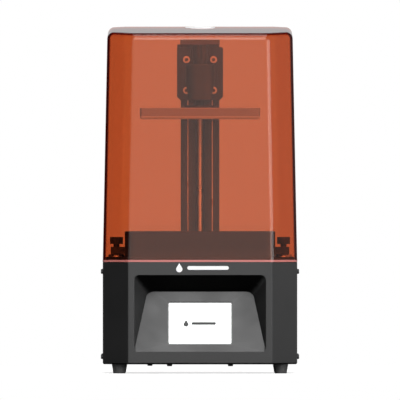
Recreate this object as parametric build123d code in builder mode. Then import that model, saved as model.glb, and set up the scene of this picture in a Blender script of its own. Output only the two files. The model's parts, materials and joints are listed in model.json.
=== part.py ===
from build123d import *
from math import atan, cos, degrees, radians, sin, sqrt, tan
import os

# Desktop resin printer. Millimetres, +Z up, -Y is the front.
# Origin: centre of the footprint, on the plane that the rubber feet stand on.

# ---- driving dimensions -------------------------------------------------------------------
HALF_W = 115.0          # half the width of the case
HALF_D = 100.0          # half the depth of the case
FRONT_CORNER = 30.0     # cut of the two front corners
REAR_CORNER = 20.0      # cut of the two rear corners
BASE_Z = 10.9           # underside of the case
CASE_TOP = 131.9        # joint between the case and the cover
SEAM_Y = -55.0          # where the front fascia meets the rear housing
WALL = 2.5              # case wall
GAP = 0.2               # assembly gap between fixed pieces
RUN = 0.05              # running clearance on a radius
FIT = 0.1               # clearance of a screw in its thread or hole, on a radius

DECK_INSET = 3.4        # top deck, measured in from the case's outside
DECK_Z = 137.7          # upper face of the deck
DECK_SKIN = 131.7       # underside of the deck's plate
DECK_RIM_Z = 117.9      # lower edge of the deck's rim
PLATE_T = 1.5           # bottom plate

RECESS_X = 77.8         # recess in the fascia: half width at the front
RECESS_LOW = 22.0
RECESS_TOP = 116.3
RECESS_DEPTH = 20.0
RECESS_IN_X = 62.2      # half width at the full depth
RECESS_IN_TOP = 96.7
MOUTH_R = 1.2           # rounding of the recess's edge on the front face
PANEL_FOOT = 25.9       # height where the tilted panel leaves the front face
PANEL_SLOPE = RECESS_DEPTH / (RECESS_IN_TOP - PANEL_FOOT)
TILT = degrees(atan(PANEL_SLOPE))
SCREEN_Z = 59.4         # middle of the screen
SCREEN_W = 73.8
SCREEN_H = 50.1

PLATFORM_Y = -22.0      # middle of the platform, the vat and the light engine
VAT_HALF_W = 89.0
VAT_HALF_D = 62.5
VAT_TOP = 168.1
FILM_Z = 140.5          # underside of the vat film
THUMB_X = 99.0
PLATFORM_LOW = 301.1    # underside of the platform with the carriage at the top
PLATFORM_T = 13.2
BALL_R = 9.5
BALL_Z = 331.0
ARM_TOP = 366.0
ARM_LOW = 324.0
HEAD_R = 14.0           # corners of the arm's head, seen from above

RETAINER_GRID = (18.0, 24.0)    # spacing of the four screws that hold the ball retainer

SCREW_Y = 67.0          # lead screw axis
SCREW_R = 4.0
COLUMN_FRONT = 59.0
COLUMN_REAR = 82.0
COLUMN_HALF_W = 23.0
COLUMN_TOP = 390.4
RAIL_X = 14.5
RAIL_W = 7.0
RAIL_T = 4.8
RAIL_LOW = 146.0
RAIL_HIGH = 387.5
GROOVE_W = 1.6          # groove along each rail's face, for its steel race
GROOVE_T = 0.7
MOTOR_TOP = 102.0
MOTOR_W = 42.0
COUPLING_LOW = 106.0
SCREW_LOW = 116.0       # lower end of the lead screw, inside the coupling
COLUMN_MID = (COLUMN_FRONT + COLUMN_REAR) / 2
FOOT_Y = 71.0           # middle of the column's foot and of its four bolts
BLOCK_W = 15.0          # guide blocks
BLOCK_REAR = 57.8
BLOCK_LOW = 329.0
BLOCK_H = 52.0
NUT_LOW = 340.0
NUT_H = 32.0
NUT_REAR = 74.0
FLAG_X = -25.1          # limit flag, which runs into the sensor's slot
FLAG_LOW = 366.0
SENSOR_W = 4.2
SENSOR_H = 9.0
PLATE_FRONT = 45.0      # carriage plate
PLATE_REAR = 51.0
PLATE_HALF_W = 27.4
PLATE_LOW = 323.8
PLATE_TOP = 387.0
CARRIAGE_SCREWS = [(x, z) for x in (-16.1, 16.1) for z in (335.4, 372.0)]

COVER_WALL = 3.0
FLANGE_T = 2.4
COVER_FRONT_TOP = 402.0
COVER_LEAN = 5.9        # how far each side leans in at COVER_HIGH
COVER_HIGH = 430.0
COVER_RISE = 10.2       # the cover's top is this much higher at the rear
COVER_SLOPE = atan(COVER_RISE / (2 * HALF_D - 2 * COVER_LEAN))
COVER_EDGE_R = 8.0
BADGE_Y = 55.0

LIGHT_FAN_Z = 20.0
FAN_SIZE = 60.0
FAN_T = 15.0
FAN_BORE_R = 28.0
REAR_FAN = (-60.0, 90.0, 72.0)
INLET = (60.0, 34.0)    # x, z of the power inlet on the rear wall
SWITCH = (60.0, 64.0)   # x, z of the rocker switch
USB_Y = -12.0
SIDE_SCREW_Y = (-62.0, 10.0, 70.0)
SIDE_SCREW_Z = (19.7, 120.5)
BASE_SCREWS = [(-36, -88), (36, -88), (-36, 84), (36, 84), (-59.3, -40), (-59.3, 40)]
FEET = [(x, y) for x in (-95.4, 95.4) for y in (-65.0, 80.0)]

CORNER_SHRINK = 2 - sqrt(2)     # how much a 45-degree corner cut shortens for each unit of inset


def footprint(inset, front=FRONT_CORNER, rear=REAR_CORNER):
    """Corners of the case's eight-sided outline, moved in by inset."""
    w, d = HALF_W - inset, HALF_D - inset
    f = front - inset * CORNER_SHRINK
    r = rear - inset * CORNER_SHRINK
    right = [(w - f, -d), (w, f - d), (w, d - r), (w - r, d)]
    return right + [(-x, y) for x, y in reversed(right)]


def panel_y(z):
    """Depth of the tilted panel's face at height z."""
    return -HALF_D + (z - PANEL_FOOT) * PANEL_SLOPE


def recess_solid(grow):
    """The recess in the fascia as a solid, grown outwards by grow; it ends on the tilted panel."""
    flare = (RECESS_X - RECESS_IN_X) / RECESS_DEPTH
    fall = (RECESS_TOP - RECESS_IN_TOP) / RECESS_DEPTH
    shift = grow * sqrt(1 + PANEL_SLOPE**2)
    mouth = 0.4 * grow if grow else -1
    with BuildPart() as hollow:
        for y in (-HALF_D + mouth, -HALF_D + RECESS_DEPTH + 2 + 1.5 * shift):
            depth = y + HALF_D
            half = RECESS_X + grow * 1.25 - flare * depth
            top = RECESS_TOP + grow * 1.4 - fall * depth
            low = RECESS_LOW - grow + 0.4 * depth
            with BuildSketch(Plane.XZ.offset(-y)) as outline:
                with Locations((0, (top + low) / 2)):
                    Rectangle(2 * half, top - low)
                fillet(outline.vertices().group_by(Axis.Y)[-1], 6 + 0.1 * depth)
                fillet(outline.vertices().group_by(Axis.Y)[0], 11)
        loft(ruled=True)
        with BuildSketch(Plane.YZ):
            with BuildLine():
                Polyline(
                    (-HALF_D + mouth, PANEL_FOOT + (mouth - shift) / PANEL_SLOPE),
                    (-HALF_D + mouth, 140),
                    (panel_y(140) + shift, 140),
                    close=True,
                )
            make_face()
        extrude(amount=HALF_W, both=True, mode=Mode.INTERSECT)
    return hollow.part


def cover_solid(inset, bottom):
    """Outside of the cover, or its inside when inset by the wall. It narrows upwards."""
    ground = CASE_TOP + FLANGE_T
    with BuildPart() as hull:
        for z in (ground, COVER_HIGH):
            t = (z - ground) / (COVER_HIGH - ground)
            with BuildSketch(Plane.XY.offset(z)):
                outline = footprint(inset + COVER_LEAN * t, FRONT_CORNER + 3 * t, REAR_CORNER + 3 * t)
                Polygon(*outline, align=None)
        loft(ruled=True)
        if bottom < ground:
            with BuildSketch(Plane.XY.offset(bottom)):
                Polygon(*footprint(inset), align=None)
            extrude(amount=ground - bottom)
        top = Plane(
            origin=(0, -HALF_D + COVER_LEAN, COVER_FRONT_TOP - inset),
            x_dir=(1, 0, 0),
            z_dir=(0, -sin(COVER_SLOPE), cos(COVER_SLOPE)),
        )
        split(bisect_by=top, keep=Keep.BOTTOM)
        upright = [e for e in hull.edges() if e.length > 150 and abs(e.tangent_at(0).Z) > 0.9]
        rim = hull.faces().sort_by(Axis.Z)[-1].edges()
        fillet(upright + list(rim), COVER_EDGE_R - 0.8 * inset)
    return hull.part


def fan_frame(plane):
    """Square fan frame with a stator hub on three struts at its back; plane is at its open face."""
    with BuildPart() as frame:
        with BuildSketch(plane):
            RectangleRounded(FAN_SIZE, FAN_SIZE, 4)
            Circle(FAN_BORE_R, mode=Mode.SUBTRACT)
            with GridLocations(50, 50, 2, 2):
                Circle(2.2, mode=Mode.SUBTRACT)
        extrude(amount=-FAN_T)
        with BuildSketch(plane.offset(-FAN_T)):
            Circle(13)
            with PolarLocations(21, 3):
                Rectangle(17, 3)
        extrude(amount=2.5)
        with BuildSketch(plane.offset(2.5 - FAN_T)):
            Circle(1.5 - RUN)
        extrude(amount=6)
    return frame


def fan_rotor(plane):
    """Seven raked blades on a hub that turns on the frame's pin."""
    hub_t = FAN_T - 5
    with BuildPart() as rotor:
        with BuildSketch(plane.offset(3.1 - FAN_T)):
            Circle(12.5)
        extrude(amount=hub_t)
        fillet(rotor.faces().sort_by(Axis(plane.origin, plane.z_dir))[-1].edges(), 1)
        with Locations(plane.offset(3.1 - FAN_T + hub_t / 2)):
            with PolarLocations(19.2, 7):
                Box(15.5, 11, 1.3, rotation=(38, 0, 0))
        with BuildSketch(plane.offset(3.1 - FAN_T)):
            Circle(1.5)
        extrude(amount=6.5, mode=Mode.SUBTRACT)
    return rotor


os.makedirs("parts", exist_ok=True)

# ---- case -----------------------------------------------------------------------------------
recess = recess_solid(0)
recess_back = recess_solid(WALL)
screen_plane = Plane(
    origin=(0, panel_y(SCREEN_Z), SCREEN_Z),
    x_dir=(1, 0, 0),
    z_dir=(0, -cos(radians(TILT)), sin(radians(TILT))),
)

# Front fascia: moulded, three front faces, a recess with a tilted panel and the screen window.
with BuildPart() as front_fascia:
    with BuildSketch(Plane.XY.offset(BASE_Z)) as wall_line:
        Polygon(*footprint(0), align=None)
        fillet(wall_line.vertices(), 2.5)
    extrude(amount=CASE_TOP - BASE_Z)
    fillet(front_fascia.faces().sort_by(Axis.Z)[0].edges(), 2)
    fillet(front_fascia.faces().sort_by(Axis.Z)[-1].edges(), 0.8)
    with BuildSketch(Plane.XY.offset(BASE_Z)):
        Polygon(*footprint(WALL), align=None)
    extrude(amount=CASE_TOP - BASE_Z, mode=Mode.SUBTRACT)
    with BuildSketch(Plane.XY.offset(BASE_Z + PLATE_T + GAP)):
        with Locations((0, -90)):
            Rectangle(150, 16)
    extrude(amount=3)
    add(recess_back)
    add(recess, mode=Mode.SUBTRACT)
    mouth = front_fascia.faces().sort_by(Axis.Y)[0].inner_wires()[0]
    fillet(mouth.edges(), MOUTH_R)
    with BuildSketch(screen_plane):
        RectangleRounded(SCREEN_W + 3, SCREEN_H + 3, 3)
    extrude(amount=20, both=True, mode=Mode.SUBTRACT)
    with BuildSketch(Plane.XY.offset(BASE_Z)):
        with Locations(*[p for p in BASE_SCREWS if p[1] < -80]):
            Circle(1.5 + FIT)
    extrude(amount=10, mode=Mode.SUBTRACT)
    with BuildSketch(Plane.YZ):
        with Locations(*[(SIDE_SCREW_Y[0], z) for z in SIDE_SCREW_Z]):
            Circle(1.7)
    extrude(amount=HALF_W + 5, both=True, mode=Mode.SUBTRACT)
    split(bisect_by=Plane.XZ.offset(-SEAM_Y), keep=Keep.TOP)

# Rear housing: both sides and the back, with side louvres, fan slots and the connector openings.
with BuildPart() as rear_housing:
    with BuildSketch(Plane.XY.offset(BASE_Z)) as wall_line:
        Polygon(*footprint(0), align=None)
        fillet(wall_line.vertices(), 2.5)
    extrude(amount=CASE_TOP - BASE_Z)
    fillet(rear_housing.faces().sort_by(Axis.Z)[0].edges(), 2)
    fillet(rear_housing.faces().sort_by(Axis.Z)[-1].edges(), 0.8)
    with BuildSketch(Plane.XY.offset(BASE_Z)):
        Polygon(*footprint(WALL), align=None)
    extrude(amount=CASE_TOP - BASE_Z, mode=Mode.SUBTRACT)
    with BuildSketch(Plane.XY.offset(BASE_Z + PLATE_T + GAP)):
        with Locations((0, 90)):
            Rectangle(120, 16)
    extrude(amount=3)
    with BuildSketch(Plane.YZ):
        with GridLocations(9, 0, 9, 1):
            with Locations((10, 62)):
                SlotOverall(56, 3.4, rotation=90)
        with Locations(*[(y, z) for y in SIDE_SCREW_Y[1:] for z in SIDE_SCREW_Z]):
            Circle(1.7)
    extrude(amount=HALF_W + 5, both=True, mode=Mode.SUBTRACT)
    with BuildSketch(Plane.YZ):
        with Locations((USB_Y, 25.5)):
            Rectangle(14.6, 8)
    extrude(amount=HALF_W + 5, mode=Mode.SUBTRACT)
    with BuildSketch(Plane.XZ.offset(-HALF_D - 5)):
        for row in range(7):
            reach = sqrt(FAN_BORE_R**2 - (7.5 * (row - 3)) ** 2)
            with Locations((REAR_FAN[0], REAR_FAN[2] + 7.5 * (row - 3))):
                SlotOverall(2 * reach - 2, 3.6)
        with Locations(INLET):
            Circle(5.6)
        with Locations(SWITCH):
            Rectangle(13, 27)
        with Locations((REAR_FAN[0], REAR_FAN[2])):
            with GridLocations(50, 50, 2, 2):
                Circle(1.7)
    extrude(amount=20, mode=Mode.SUBTRACT)
    with BuildSketch(Plane.XY.offset(BASE_Z)):
        with Locations(*[p for p in BASE_SCREWS if p[1] > 80]):
            Circle(1.5 + FIT)
    extrude(amount=10, mode=Mode.SUBTRACT)
    split(bisect_by=Plane.XZ.offset(-SEAM_Y - GAP), keep=Keep.BOTTOM)

# Bottom plate: folded tray with side flanges and an air inlet under the light fan.
with BuildPart() as base_plate:
    with BuildSketch(Plane.XY.offset(BASE_Z)):
        Polygon(*footprint(WALL + GAP), align=None)
    extrude(amount=PLATE_T)
    for side in (-1, 1):
        with BuildSketch(Plane.XY.offset(BASE_Z)):
            with Locations((side * (HALF_W - WALL - GAP - PLATE_T / 2), 4.5)):
                Rectangle(PLATE_T, 141)
        extrude(amount=16)
    with BuildSketch(Plane.XY.offset(BASE_Z)):
        with Locations((0, PLATFORM_Y)):
            for ring in (8, 14, 20, 26):
                with PolarLocations(ring, 6 * ring // 8):
                    Circle(2)
        with Locations((0, 40)):
            with GridLocations(8, 0, 9, 1):
                SlotOverall(26, 3, rotation=90)
        with Locations(*BASE_SCREWS):
            Circle(1.5 + FIT)
        with Locations(*FEET):
            Circle(2 + FIT)
    extrude(amount=PLATE_T, mode=Mode.SUBTRACT)
    with BuildSketch(Plane.YZ):
        with Locations(*[(y, SIDE_SCREW_Z[0]) for y in SIDE_SCREW_Y]):
            Circle(1.5 + FIT)
    extrude(amount=HALF_W, both=True, mode=Mode.SUBTRACT)
    with BuildSketch(Plane.YZ):
        with Locations((USB_Y, 26)):
            Rectangle(15, 9.4)
    extrude(amount=HALF_W, mode=Mode.SUBTRACT)

# Feet: rubber cones with a screw pocket underneath and a stud into the bottom plate.
with BuildPart() as feet:
    with BuildSketch(Plane.XY):
        with Locations(*FEET):
            Circle(7.25)
    extrude(amount=BASE_Z, taper=degrees(-atan(1.65 / BASE_Z)))
    fillet(feet.edges().group_by(Axis.Z)[0], 1)
    with BuildSketch(Plane.XY):
        with Locations(*FEET):
            Circle(3.4)
    extrude(amount=4, mode=Mode.SUBTRACT)
    with BuildSketch(Plane.XY.offset(BASE_Z - 1)):
        with Locations(*FEET):
            Circle(2)
    extrude(amount=4.5)

# Case screws: button heads on both sides and under the base.
with BuildPart() as case_screws:
    for side in (-1, 1):
        outward = Plane(origin=(side * HALF_W, 0, 0), x_dir=(0, side, 0), z_dir=(side, 0, 0))
        places = [(side * y, z) for y in SIDE_SCREW_Y for z in SIDE_SCREW_Z]
        with BuildSketch(outward):
            with Locations(*places):
                Circle(3)
        extrude(amount=2.3, taper=14)
        with BuildSketch(outward):
            with Locations(*places):
                Circle(1.5)
        extrude(amount=-7)
        with BuildSketch(outward.offset(2.3)):
            with Locations(*places):
                RegularPolygon(1.2, 6)
        extrude(amount=-1.4, mode=Mode.SUBTRACT)
    with BuildSketch(Plane.XY.offset(BASE_Z)):
        with Locations(*BASE_SCREWS):
            Circle(3.3)
    extrude(amount=-2.2, taper=14)
    with BuildSketch(Plane.XY.offset(BASE_Z)):
        with Locations(*BASE_SCREWS):
            Circle(1.5)
    extrude(amount=5.5)
    with BuildSketch(Plane.XY.offset(BASE_Z - 2.2)):
        with Locations(*BASE_SCREWS):
            RegularPolygon(1.2, 6)
    extrude(amount=1.4, mode=Mode.SUBTRACT)

# Front badge: a plain drop and a plain bar, no lettering.
with BuildPart() as front_badge:
    with BuildSketch(Plane.XZ.offset(HALF_D)):
        with BuildLine():
            drop = CenterArc((-24.5, 123.4), 3.7, 150, 240)
            Line(drop @ 0, (-24.5, 130.4))
            Line(drop @ 1, (-24.5, 130.4))
        make_face()
        with Locations((9.5, 124.9)):
            SlotOverall(49, 4.4)
    extrude(amount=0.4)

# ---- touch screen ---------------------------------------------------------------------------
with BuildPart() as touch_glass:
    with BuildSketch(screen_plane.offset(-1.8)):
        RectangleRounded(SCREEN_W + 2.6, SCREEN_H + 2.6, 2.8)
    extrude(amount=1.2)
    chamfer(touch_glass.faces().sort_by(Axis.Y)[0].edges(), 0.3)

with BuildPart() as touch_display:
    with BuildSketch(screen_plane.offset(-3.9)):
        Rectangle(SCREEN_W, SCREEN_H)
    extrude(amount=2)

with BuildPart() as touch_board:
    with BuildSketch(screen_plane.offset(-5.8)):
        Rectangle(SCREEN_W + 12, SCREEN_H + 8)
        with GridLocations(SCREEN_W + 6, SCREEN_H + 2, 2, 2):
            Circle(1.6, mode=Mode.SUBTRACT)
    extrude(amount=1.6)
    with BuildSketch(screen_plane.offset(-5.8)):
        with Locations((-20, 8), (12, -8), (24, 12)):
            Rectangle(14, 12)
    extrude(amount=-2)

# ---- deck, light engine ---------------------------------------------------------------------
# Top deck: plate on a deep rim, with the exposure window, the pocket of the LCD and the screw's hole.
with BuildPart() as top_deck:
    with BuildSketch(Plane.XY.offset(DECK_RIM_Z)) as deck_line:
        Polygon(*footprint(DECK_INSET), align=None)
        fillet(deck_line.vertices(), 7)
    extrude(amount=DECK_Z - DECK_RIM_Z)
    chamfer(top_deck.faces().sort_by(Axis.Z)[-1].edges(), 0.8)
    with BuildSketch(Plane.XY.offset(DECK_RIM_Z)):
        Polygon(*footprint(DECK_INSET + 4), align=None)
    extrude(amount=DECK_SKIN - DECK_RIM_Z, mode=Mode.SUBTRACT)
    with BuildSketch(Plane.XY.offset(DECK_SKIN)):
        with Locations((0, PLATFORM_Y)):
            Rectangle(130, 72)
        with Locations((0, SCREW_Y)):
            Circle(6)
        with Locations(*[(x, PLATFORM_Y) for x in (-THUMB_X, THUMB_X)]):
            Circle(5 + FIT)
        with Locations((0, FOOT_Y)):
            with GridLocations(56, 22, 2, 2):
                Circle(2 + FIT)
    extrude(amount=DECK_Z - DECK_SKIN, mode=Mode.SUBTRACT)
    with BuildSketch(Plane.XY.offset(DECK_Z)):
        with Locations((0, PLATFORM_Y)):
            Rectangle(140.4, 82.4)
    extrude(amount=-1.5, mode=Mode.SUBTRACT)
    with BuildSketch(Plane.YZ):
        with Locations(*[(y, SIDE_SCREW_Z[1]) for y in SIDE_SCREW_Y]):
            Circle(1.5 + FIT)
    extrude(amount=HALF_W, both=True, mode=Mode.SUBTRACT)

with BuildPart() as thumb_bushings:
    with BuildSketch(Plane.XY.offset(DECK_Z)):
        with Locations(*[(x, PLATFORM_Y) for x in (-THUMB_X, THUMB_X)]):
            Circle(10)
    extrude(amount=3, taper=12)
    with BuildSketch(Plane.XY.offset(DECK_Z - 9)):
        with Locations(*[(x, PLATFORM_Y) for x in (-THUMB_X, THUMB_X)]):
            Circle(5)
    extrude(amount=9)
    with BuildSketch(Plane.XY.offset(DECK_Z - 9)):
        with Locations(*[(x, PLATFORM_Y) for x in (-THUMB_X, THUMB_X)]):
            Circle(3 + RUN)
    extrude(amount=12, mode=Mode.SUBTRACT)

with BuildPart() as lcd_panel:
    with BuildSketch(Plane.XY.offset(DECK_Z - 1.5)):
        with Locations((0, PLATFORM_Y)):
            Rectangle(140, 82)
    extrude(amount=2)

with BuildPart() as exposure_glass:
    with BuildSketch(Plane.XY.offset(DECK_Z + 0.5)):
        with Locations((0, PLATFORM_Y)):
            RectangleRounded(138, 80, 2)
    extrude(amount=FILM_Z - 0.1 - DECK_Z - 0.5)
    chamfer(exposure_glass.faces().sort_by(Axis.Z)[-1].edges(), 0.4)

# Light housing: a flared duct from the LEDs up to the LCD, with a flange under the deck.
with BuildPart() as uv_housing:
    for z, w, d in ((61.6, 72, 60), (DECK_SKIN - 2, 140, 88)):
        with BuildSketch(Plane.XY.offset(z)):
            with Locations((0, PLATFORM_Y)):
                Rectangle(w, d)
    loft(ruled=True)
    with BuildSketch(Plane.XY.offset(DECK_SKIN - 2)):
        with Locations((0, PLATFORM_Y)):
            RectangleRounded(156, 98, 3)
    extrude(amount=2)
    for z, w, d in ((61.6, 68, 56), (DECK_SKIN - 2, 136, 84)):
        with BuildSketch(Plane.XY.offset(z)):
            with Locations((0, PLATFORM_Y)):
                Rectangle(w, d)
    loft(ruled=True, mode=Mode.SUBTRACT)
    with BuildSketch(Plane.XY.offset(DECK_SKIN - 2)):
        with Locations((0, PLATFORM_Y)):
            Rectangle(136, 84)
    extrude(amount=2, mode=Mode.SUBTRACT)

with BuildPart() as uv_lens_plate:
    with BuildSketch(Plane.XY.offset(66)):
        with Locations((0, PLATFORM_Y)):
            Rectangle(67, 55)
    extrude(amount=2)
    with Locations((0, PLATFORM_Y, 61)):
        with GridLocations(15, 15, 4, 3):
            Sphere(10)
    split(bisect_by=Plane.XY.offset(66), keep=Keep.TOP)

with BuildPart() as uv_led_board:
    with BuildSketch(Plane.XY.offset(60)):
        with Locations((0, PLATFORM_Y)):
            Rectangle(76, 64)
    extrude(amount=1.6)

with BuildPart() as uv_leds:
    with BuildSketch(Plane.XY.offset(61.6)):
        with Locations((0, PLATFORM_Y)):
            with GridLocations(15, 15, 4, 3):
                Rectangle(3.5, 3.5)
    extrude(amount=0.9)
    with BuildSketch(Plane.XY.offset(62.5)):
        with Locations((0, PLATFORM_Y)):
            with GridLocations(15, 15, 4, 3):
                Circle(1.4)
    extrude(amount=0.9, taper=20)

with BuildPart() as heat_sink:
    with BuildSketch(Plane.XY.offset(55)):
        with Locations((0, PLATFORM_Y)):
            Rectangle(76, 72)
    extrude(amount=5)
    with BuildSketch(Plane.XY.offset(LIGHT_FAN_Z + FAN_T)):
        with Locations((0, PLATFORM_Y)):
            with GridLocations(5, 0, 15, 1):
                Rectangle(1.4, 72)
    extrude(amount=20)

light_fan_plane = Plane(origin=(0, PLATFORM_Y, LIGHT_FAN_Z + FAN_T), x_dir=(1, 0, 0), z_dir=(0, 0, 1))
light_fan_frame = fan_frame(light_fan_plane)
light_fan_rotor = fan_rotor(light_fan_plane)
rear_fan_plane = Plane(origin=(REAR_FAN[0], HALF_D - WALL, REAR_FAN[2]), x_dir=(-1, 0, 0), z_dir=(0, 1, 0))
rear_fan_frame = fan_frame(rear_fan_plane)
rear_fan_rotor = fan_rotor(rear_fan_plane)

# Standoffs: under the light fan and under the main board.
BOARD_Z = 20.0
BOARD_X, BOARD_Y, BOARD_W, BOARD_L = 75.0, 15.0, 62.0, 90.0
with BuildPart() as standoffs:
    with BuildSketch(Plane.XY.offset(BASE_Z + PLATE_T)):
        with Locations((0, PLATFORM_Y)):
            with GridLocations(50, 50, 2, 2):
                RegularPolygon(4, 6)
    extrude(amount=LIGHT_FAN_Z - BASE_Z - PLATE_T)
    with BuildSketch(Plane.XY.offset(BASE_Z + PLATE_T)):
        with Locations((BOARD_X, BOARD_Y)):
            with GridLocations(BOARD_W - 8, BOARD_L - 8, 2, 2):
                RegularPolygon(3, 6)
    extrude(amount=BOARD_Z - BASE_Z - PLATE_T)

with BuildPart() as main_board:
    with BuildSketch(Plane.XY.offset(BOARD_Z)):
        with Locations((BOARD_X, BOARD_Y)):
            RectangleRounded(BOARD_W, BOARD_L, 2)
    extrude(amount=1.6)

with BuildPart() as board_parts:
    with BuildSketch(Plane.XY.offset(BOARD_Z + 1.6)):
        with Locations((68, 0)):
            Rectangle(14, 14)
        with Locations((66, 24), (66, 40)):
            Rectangle(9, 9)
    extrude(amount=1.6)
    with BuildSketch(Plane.XY.offset(BOARD_Z + 1.6)):
        with Locations((52, -20)):
            with GridLocations(0, 14, 1, 6):
                Rectangle(6, 11)
        with Locations((95, 48)):
            Rectangle(12, 10)
    extrude(amount=8)
    with BuildSketch(Plane.XY.offset(BOARD_Z + 1.6)):
        with Locations((86, 30), (98, 30), (86, 42)):
            Circle(4)
    extrude(amount=11)

# USB socket: metal shell with its tongue set back behind the mouth.
with BuildPart() as usb_socket:
    with BuildSketch(Plane.YZ.offset(96)):
        with Locations((USB_Y, 25.5)):
            Rectangle(14, 7.2)
    extrude(amount=18)
    with BuildSketch(Plane.YZ.offset(98)):
        with Locations((USB_Y, 25.5)):
            Rectangle(12.8, 6)
    extrude(amount=16, mode=Mode.SUBTRACT)
    with BuildSketch(Plane.YZ.offset(98)):
        with Locations((USB_Y, 26.6)):
            Rectangle(11.2, 1.8)
    extrude(amount=10)

# Power inlet: threaded panel jack, with the pin set back behind the mouth.
with BuildPart() as power_inlet:
    with BuildSketch(Plane.XZ.offset(-HALF_D)):
        with Locations(INLET):
            Circle(7.5)
    extrude(amount=-2)
    with BuildSketch(Plane.XZ.offset(-HALF_D)):
        with Locations(INLET):
            Circle(5.5)
    extrude(amount=15)
    with BuildSketch(Plane.XZ.offset(-HALF_D - 2)):
        with Locations(INLET):
            Circle(3.2)
    extrude(amount=14, mode=Mode.SUBTRACT)
    with BuildSketch(Plane.XZ.offset(-HALF_D + 12)):
        with Locations(INLET):
            Circle(1)
    extrude(amount=-8)

# Rocker switch: snap-in body and a rocker that tips on a cross pin.
ROCKER_Y = HALF_D - 2.5
with BuildPart() as switch_body:
    with BuildSketch(Plane.XZ.offset(-HALF_D)):
        with Locations(SWITCH):
            RectangleRounded(15.5, 31, 2)
    extrude(amount=-1.2)
    with BuildSketch(Plane.XZ.offset(-HALF_D)):
        with Locations(SWITCH):
            Rectangle(12.8, 26.8)
    extrude(amount=18)
    with BuildSketch(Plane.XZ.offset(-HALF_D - 1.2)):
        with Locations(SWITCH):
            Rectangle(10.4, 23.6)
    extrude(amount=9.5, mode=Mode.SUBTRACT)

ROCKER_TIP = radians(8)
rocker_plane = Plane(
    origin=(SWITCH[0] - 5, ROCKER_Y, SWITCH[1]),
    x_dir=(0, cos(ROCKER_TIP), sin(ROCKER_TIP)),
    z_dir=(1, 0, 0),
)
with BuildPart() as power_rocker:
    with BuildSketch(rocker_plane):
        with BuildLine():
            Polyline((-3.5, -9), (-3.5, 9), (1, 11), (3.2, 10.8))
            Line((3.2, 10.8), (1.6, 0))
            Line((1.6, 0), (3.2, -10.8))
            Polyline((3.2, -10.8), (1, -11), (-3.5, -9))
        make_face()
    extrude(amount=10)

# ---- vertical axis --------------------------------------------------------------------------
with BuildPart() as motor_bracket:
    with BuildSketch(Plane.XY.offset(MOTOR_TOP)):
        with Locations((0, SCREW_Y)):
            Rectangle(50, 46)
            Circle(11.3, mode=Mode.SUBTRACT)
            with GridLocations(31, 31, 2, 2):
                Circle(1.7, mode=Mode.SUBTRACT)
    extrude(amount=2)
    with BuildSketch(Plane.XY.offset(MOTOR_TOP)):
        with Locations((0, SCREW_Y)):
            with GridLocations(48, 0, 2, 1):
                Rectangle(2, 46)
    extrude(amount=DECK_SKIN - MOTOR_TOP)
    with BuildSketch(Plane.XY.offset(DECK_SKIN - 2)):
        with Locations((0, SCREW_Y)):
            with GridLocations(60, 0, 2, 1):
                Rectangle(14, 46)
    extrude(amount=2)
    with BuildSketch(Plane.XY.offset(DECK_SKIN - 2)):
        with Locations((0, FOOT_Y)):
            with GridLocations(56, 22, 2, 2):
                Circle(2 + FIT)
    extrude(amount=2, mode=Mode.SUBTRACT)

with BuildPart() as z_motor:
    with BuildSketch(Plane.XY.offset(MOTOR_TOP - 38)) as motor_outline:
        with Locations((0, SCREW_Y)):
            Rectangle(MOTOR_W, MOTOR_W)
        chamfer(motor_outline.vertices(), 5)
    extrude(amount=38)
    with BuildSketch(Plane.XY.offset(MOTOR_TOP)):
        with Locations((0, SCREW_Y)):
            Circle(11)
    extrude(amount=2)
    with BuildSketch(Plane.XY.offset(MOTOR_TOP - 12)):
        with Locations((0, SCREW_Y)):
            Circle(2.5 + RUN)
    extrude(amount=14, mode=Mode.SUBTRACT)

with BuildPart() as motor_shaft:
    with BuildSketch(Plane.XY.offset(MOTOR_TOP - 11)):
        with Locations((0, SCREW_Y)):
            Circle(2.5)
    extrude(amount=23)

with BuildPart() as screw_coupling:
    with BuildSketch(Plane.XY.offset(COUPLING_LOW)):
        with Locations((0, SCREW_Y)):
            Circle(9.5)
    extrude(amount=22)
    chamfer(screw_coupling.edges().group_by(Axis.Z)[0], 0.8)
    chamfer(screw_coupling.edges().group_by(Axis.Z)[-1], 0.8)
    with BuildSketch(Plane.XY.offset(COUPLING_LOW)):
        with Locations((0, SCREW_Y)):
            Circle(2.5)
    extrude(amount=SCREW_LOW - COUPLING_LOW, mode=Mode.SUBTRACT)
    with BuildSketch(Plane.XY.offset(SCREW_LOW)):
        with Locations((0, SCREW_Y)):
            Circle(SCREW_R)
    extrude(amount=12, mode=Mode.SUBTRACT)

with BuildPart() as lead_screw:
    with BuildSketch(Plane.XY.offset(SCREW_LOW)):
        with Locations((0, SCREW_Y)):
            Circle(SCREW_R)
    extrude(amount=COLUMN_TOP + 2 - SCREW_LOW)
    chamfer(lead_screw.edges().group_by(Axis.Z)[-1], 0.8)

# Column: twin-tower profile with an open channel for the screw between the rails.
with BuildPart() as z_column:
    with BuildSketch(Plane.XY.offset(DECK_Z)) as tower_line:
        with Locations((0, COLUMN_MID)):
            Rectangle(2 * COLUMN_HALF_W, COLUMN_REAR - COLUMN_FRONT)
        fillet(tower_line.vertices(), 1.5)
        with Locations((0, COLUMN_FRONT + 9)):
            Rectangle(15, 22, mode=Mode.SUBTRACT)
        with Locations(*[(x, COLUMN_FRONT + 12) for x in (-RAIL_X, RAIL_X)]):
            RectangleRounded(9, 14, 1.5, mode=Mode.SUBTRACT)
    extrude(amount=COLUMN_TOP - DECK_Z)

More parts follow.
